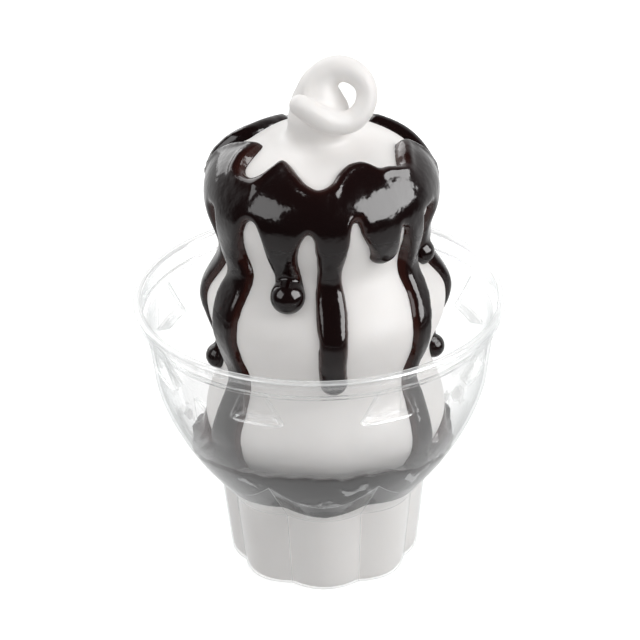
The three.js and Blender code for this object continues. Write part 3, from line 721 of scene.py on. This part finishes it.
def ice_cream():
    """The base fills the flutes, the coils stack on it, and the pulled tip is fused to the dome."""
    bottom, foot = IN_WALL, FOOT_RADIUS - IN_WALL
    recess = RECESS_HEIGHT + bottom
    rings = [(0, recess), (RECESS_RADIUS - 1, recess), (RECESS_RADIUS, bottom)]
    rings += [(foot - FOOT_ROUND, bottom), (foot - 0.35, bottom + 0.4), (foot + 0.1, bottom + 1.1)]
    rings += [(crest_radius(z) - IN_WALL, z) for z in (4, 8, 12, 16, 19, BASE_HEIGHT)]
    rings += [(crest_radius(z) - UNDER_POOL, z) for z in (22.1, 23.2, 24.3, 25.4)] + [(24.2, 25.9)]
    rings += skin_rings(1.2, 26)[::-1]
    made = turned("soft_serve", rings, COLUMNS)

    def in_flutes(z, r, place):
        fluted = r > 18 and z < 25.8
        return (r - groove_depth(z, place), z) if fluted else (r, z)

    press(made, in_flutes)
    lean(made)
    made = join([made, pulled_tip()], "soft_serve")
    modify(made, "REMESH", mode="VOXEL", voxel_size=ICE_VOXEL * MM)
    modify(made, "SMOOTH", factor=0.5, iterations=4)
    junction = made.vertex_groups.new(name="junction")
    for v in made.data.vertices:
        off_axis = math.hypot(v.co.x, v.co.y) / MM
        near = 1 - abs(v.co.z / MM - JUNCTION_HEIGHT) / JUNCTION_REACH
        if near > 0 and 5 < off_axis < 15:
            junction.add([v.index], min(1, 1.5 * near), "REPLACE")
    modify(made, "SMOOTH", factor=0.6, iterations=40, vertex_group="junction")
    made.vertex_groups.clear()
    bpy.ops.object.shade_smooth()
    made.data.materials.clear()
    made.data.materials.append(soft_serve())
    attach(made, "root")
    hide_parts("ice_cream")


# ------------------------------------------------------------------ hot fudge
SUNK = 0.8                  # the fudge's underside lies this far inside the ice cream
COAT_THICK = 1.9
EDGE_ROUND = 1.3            # the coat thickens from its edge over this distance
DRIP_ROUND = 2.0            # and the drips over this one
DRIPS_BEGIN = (105, 99)     # one rounding goes over into the other between these heights
MARGIN = 0.5                # the skin is kept this far outside the edge, to dip into the ice cream
COAT_VOXEL = 0.5
RIM_WIDTH = 5               # its colour deepens from the edge over this distance
MELD = 1.4                  # drips and coat run together over this distance
SPREAD = 0.4                # smoothing draws the edges in by this much, so the fudge starts that much wider
POOL_SUNK = 0.6             # the pool reaches this far into the ice cream
POOL_VOXEL = 0.45
POOL_RIM = 1.5              # the pool's edge at the wall has the colour of the coat this far in
THICKER = [                 # the coat's lumps: angle, distance along the outline, size, extra thickness
    (78, 24, 9, 1.1), (60, 27, 5, 0.5), (-78, 21, 8, 0.8), (-112, 25, 7, 0.9), (-55, 27, 5, -0.4),
    (10, 27, 7, -0.3), (-135, 22, 6, 0.3), (122, 25, 6, 0.4), (-152, 17, 13, -1), (-84, 15, 5, -0.8),
    (95, 47, 7, 2.4), (-57, 45, 6, 1.4), (58, 45, 6, 1.4),
]


def run_together(a, b):
    """The larger of two depths, with a soft shoulder where they meet."""
    near = np.maximum(MELD - np.abs(a - b), 0) / MELD
    return np.maximum(a, b) + near * near * MELD / 4


def below_top_edge(angle, along):
    """How far a point of the skin is from the coat's top edge, in millimetres."""
    dome = ALONG < along_at_height(SWELLS[-1][0])
    top = np.interp(curve_through(COAT_TOP_EDGE, angle), RADIUS[dome], ALONG[dome])
    ahead = np.interp(curve_through(COAT_TOP_EDGE, angle + 1), RADIUS[dome], ALONG[dome])
    slope = (ahead - top) / np.radians(1) / radius_at(along).clip(5)
    return (along - top) / np.sqrt(1 + slope ** 2)


def coat_inset(angle, along):
    """How far inside the edge of the fudge a point of the skin is, in millimetres. Negative is bare."""
    lower_edge = along_at_height(curve_through(COAT_LOWER_EDGE, angle))
    inset = np.minimum(below_top_edge(angle, along), lower_edge - along)
    for drip in DRIPS:
        inset = run_together(inset, drip_inset(drip, angle, along))
    return inset + SPREAD


def drip_inset(drip, angle, along):
    """The same for one drip."""
    _, *path = drip
    heights, angles, halves = np.array(path).T
    stops = along_at_height(heights)
    middle, width = np.interp(along, stops, angles), np.interp(along, stops, halves)
    off = np.abs(off_angle(angle, middle)) * np.pi / 180 * radius_at(along)
    stem = np.where(along < stops[-1], width - off, -9)
    ball = halves[-1] - np.hypot(off, along - stops[-1])
    return np.where(along < stops[0] - 1, -9, np.maximum(stem, ball))


def coat_thickness(angle, along):
    """The coat's thickness: poured unevenly, with lumps where more of it set."""
    thick = np.full(len(angle), COAT_THICK)
    for at_angle, at_along, size, extra in THICKER:
        off = off_angle(angle, at_angle) * np.pi / 180 * radius_at(along)
        thick += extra * np.exp(-(off ** 2 + (along - at_along) ** 2) / size ** 2)
    # The top edge set first and rolled up a little, 1.6 mm in.
    rolled_edge = np.exp(-((below_top_edge(angle, along) - 1.6) / 0.8) ** 2)
    return thick + 0.55 * rolled_edge


def bead_place(drip):
    """The middle of the swollen end of a drip, in millimetres."""
    radius, *path = drip
    height, angle, _ = path[-1]
    along = along_at_height(height)
    out, a = radius_at(along) + 0.35 * radius, math.radians(angle)
    return out * math.sin(a) + np.interp(along, ALONG, SHIFT), -out * math.cos(a), height_at(along)


def bead(drip):
    """The swollen end of a drip, sitting on the skin."""
    bpy.ops.object.select_all(action="DESELECT")
    bpy.ops.mesh.primitive_uv_sphere_add(radius=drip[0] * MM, location=Vector(bead_place(drip)) * MM)
    return bpy.context.object


def fudge_coat():
    """A skin spun over the coils is cut to where the fudge ran, thickened, and fused with the beads."""
    made = turned("hot_fudge_coat", skin_rings(0.5, 30.5), 360)
    points = points_of(made)
    angle = angles_of(points)
    along = along_at_height(points[:, 2])
    inset = coat_inset(angle, along)
    only(made)
    bpy.ops.object.mode_set(mode="EDIT")
    bpy.ops.mesh.select_all(action="DESELECT")
    edit_mesh = bmesh.from_edit_mesh(made.data)
    edit_mesh.verts.ensure_lookup_table()
    for v, depth in zip(edit_mesh.verts, inset):
        v.select = bool(depth < -MARGIN)
    edit_mesh.select_flush(True)
    bpy.ops.mesh.delete(type="VERT")
    bpy.ops.object.mode_set(mode="OBJECT")

    kept = inset >= -MARGIN
    inset, thick = inset[kept], coat_thickness(angle, along)[kept]
    full = SUNK + thick.max()
    edge = np.interp(along[kept], along_at_height(DRIPS_BEGIN), (EDGE_ROUND, DRIP_ROUND))
    round_edge = np.sqrt(1 - (1 - np.clip(inset / edge, 0, 1)) ** 2)
    share = np.where(inset > 0, SUNK + thick * round_edge, SUNK + 1.2 * inset) / full
    thickness = made.vertex_groups.new(name="thickness")
    for i, weight in enumerate(share):
        thickness.add([i], float(weight), "REPLACE")
    lean(made)
    modify(made, "DISPLACE", strength=-SUNK * MM, mid_level=0)
    modify(made, "SOLIDIFY", thickness=full * MM, offset=1, vertex_group="thickness")
    made.vertex_groups.clear()
    made = join([made, *[bead(d) for d in DRIPS if d[0]]], "hot_fudge_coat")
    modify(made, "REMESH", mode="VOXEL", voxel_size=COAT_VOXEL * MM)
    modify(made, "SMOOTH", factor=0.5, iterations=5)
    bpy.ops.object.shade_smooth()
    angle, along = places_on_skin(made)
    # The top edge is thick in front, so more of its side shows brown there than along the drips.
    near_edge = np.minimum(coat_inset(angle, along) - SPREAD, 0.4 * below_top_edge(angle, along))
    # Painted shade: no light shows through the edge of the back half, so its rim is made dark.
    near_edge += np.interp(np.abs(angle), (86, 100), (0, 2.5))
    points = points_of(made)
    # The beads are thick all over, so they are dark all over.
    for drip in DRIPS:
        if drip[0]:
            in_bead = 1.2 * drip[0] - np.linalg.norm(points - bead_place(drip), axis=1)
            near_edge = np.maximum(near_edge, 3 * in_bead)
    finish_fudge(made, "fudge_coat", near_edge)


def places_on_skin(made):
    """The angle and the distance along the outline of the skin nearest to each vertex."""
    skin = KDTree(len(ALONG))
    for i, (radius, height) in enumerate(zip(RADIUS, HEIGHT)):
        skin.insert((radius, height, 0), i)
    skin.balance()
    points = points_of(made)
    points[:, 0] -= shift_at_height(points[:, 2])
    radii = np.hypot(points[:, 0], points[:, 1])
    nearest = [skin.find((radius, height, 0))[1] for radius, height in zip(radii, points[:, 2])]
    return angles_of(points), ALONG[nearest]


def finish_fudge(made, cad_node, inside):
    """Stores how far each vertex is inside the fudge's edge, for the colour of its thin rim."""
    share = np.clip(inside / RIM_WIDTH, 0, 1)
    made.data.attributes.new("from_edge", "FLOAT", "POINT").data.foreach_set("value", share)
    made.data.materials.clear()
    made.data.materials.append(bpy.data.materials.get("poured_hot_fudge") or poured_fudge())
    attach(made, "root")
    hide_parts(cad_node)


def fudge_pool():
    """The fudge that ran down and fills the foot of the bowl, out to the wall."""
    # The ring is spun between these heights and radii, then shaped between the ice cream and the wall.
    low, high, inner, outer = 24, 36, 24, 32
    up = np.linspace(0, 1, 16)
    wall_side = [(outer, low + (high - low) * t) for t in up]
    ice_side = [(inner, high - (high - low) * t) for t in up]
    top = [(outer + (inner - outer) * t, high) for t in np.linspace(0, 1, 11)[1:-1]]
    bottom = [(inner + (outer - inner) * t, low) for t in np.linspace(0, 1, 5)[1:-1]]
    ring = [*wall_side, *top, *ice_side, *bottom, wall_side[0]]
    made = turned("hot_fudge_pool", ring, COLUMNS * 2)
    points = points_of(made)
    angles = angles_of(points)
    at_ice, at_wall, foot = (curve_through(edge, angles) for edge in (POOL_AT_ICE, POOL_AT_WALL, POOL_FOOT))
    # Its upper edge at the wall is uneven by half a millimetre.
    at_wall = at_wall + 0.5 * np.sin(np.radians(angles * 23)) * np.sin(np.radians(angles * 9 + 40))
    outs = (np.hypot(points[:, 0], points[:, 1]) - inner) / (outer - inner)
    levels = at_wall + (at_ice - at_wall) * (1 - outs) ** 2
    heights = foot + (levels - foot) * (points[:, 2] - low) / (high - low)
    radii = radius_at(along_at_height(heights)) - POOL_SUNK
    shifts = shift_at_height(heights) * (1 - outs)
    for v, angle, out, height, ice, shift in zip(made.data.vertices, angles, outs, heights, radii, shifts):
        wall = wall_radius(height, flute_place(angle)) - IN_WALL
        radius, a = ice + (wall - ice) * out, math.radians(angle)
        v.co = Vector((radius * math.sin(a) + shift, -radius * math.cos(a), height)) * MM
    modify(made, "REMESH", mode="VOXEL", voxel_size=POOL_VOXEL * MM)
    modify(made, "SMOOTH", factor=0.5, iterations=4)
    bpy.ops.object.shade_smooth()
    points = points_of(made)
    level = curve_through(POOL_AT_WALL, angles_of(points))
    finish_fudge(made, "fudge_pool", POOL_RIM + level - points[:, 2])


# ------------------------------------------------------------------ the sundae
camera()
studio()
cup()
ice_cream()
fudge_coat()
fudge_pool()
